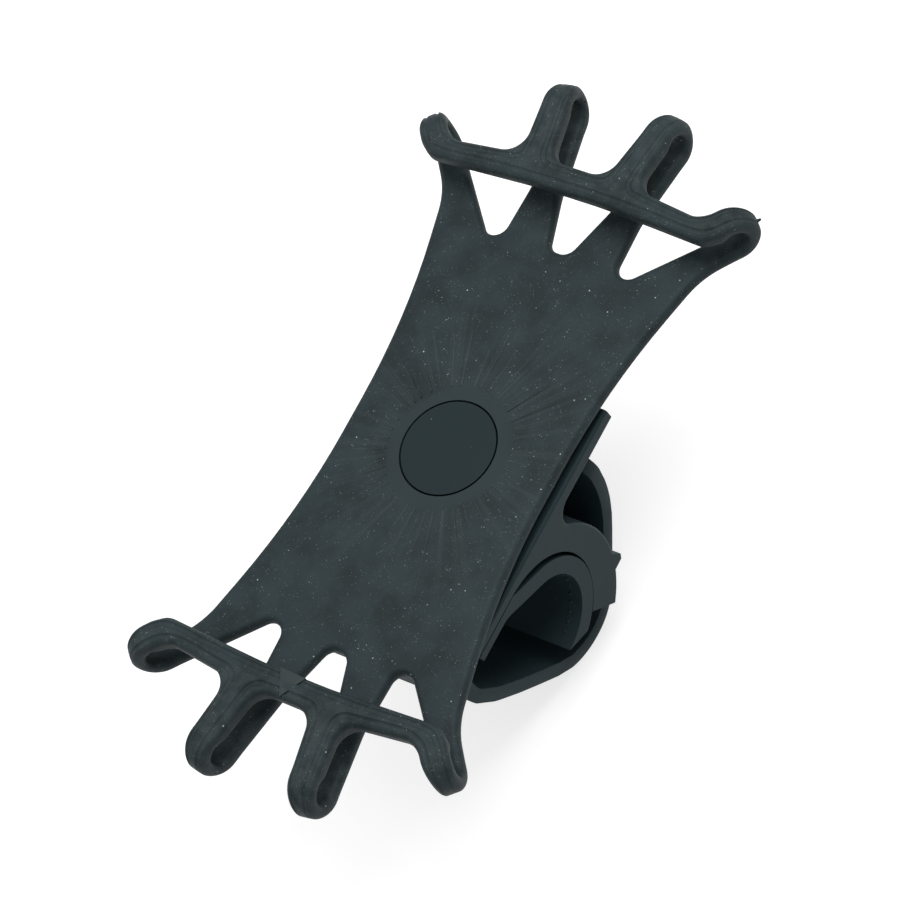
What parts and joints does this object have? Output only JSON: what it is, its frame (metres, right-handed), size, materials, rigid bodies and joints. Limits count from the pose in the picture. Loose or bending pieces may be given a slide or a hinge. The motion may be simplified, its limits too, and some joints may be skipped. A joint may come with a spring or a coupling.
{
  "type": "bike phone holder",
  "caption": "Waisted silicone phone cradle with curled loops and cross bars at both ends, on a turning plastic bracket that straps round a handlebar.",
  "frame": {"origin": "on the handlebar's axis, at the middle of the clamp's width", "axes": "+X along the handlebar, +Y along the phone, +Z from the handlebar towards the phone"},
  "size_m": [0.0804, 0.1568, 0.0585],
  "materials": {
    "silicone": "matt, slightly dusty",
    "cap_plastic": "smooth satin",
    "bracket_plastic": "fine satin",
    "liner_rubber": "matt",
    "strap_rubber": "matt",
    "steel": "plain"
  },
  "bodies": {
    "clamp": {"bracket": "bracket_plastic", "bar_liner": "liner_rubber", "strap": "strap_rubber", "pivot_screw": "steel", "retaining_washer": "steel", "wave_washer": "steel"},
    "cradle": {"cradle": "silicone", "centre_cap": "cap_plastic", "turntable": "cap_plastic"}
  },
  "joints": [
    {"name": "cradle_spin", "type": "hinge", "parent": "clamp", "child": "cradle", "pos_m": [0, 0.0202, 0.0213], "axis": [0, 0, 1], "continuous": true}
  ]
}
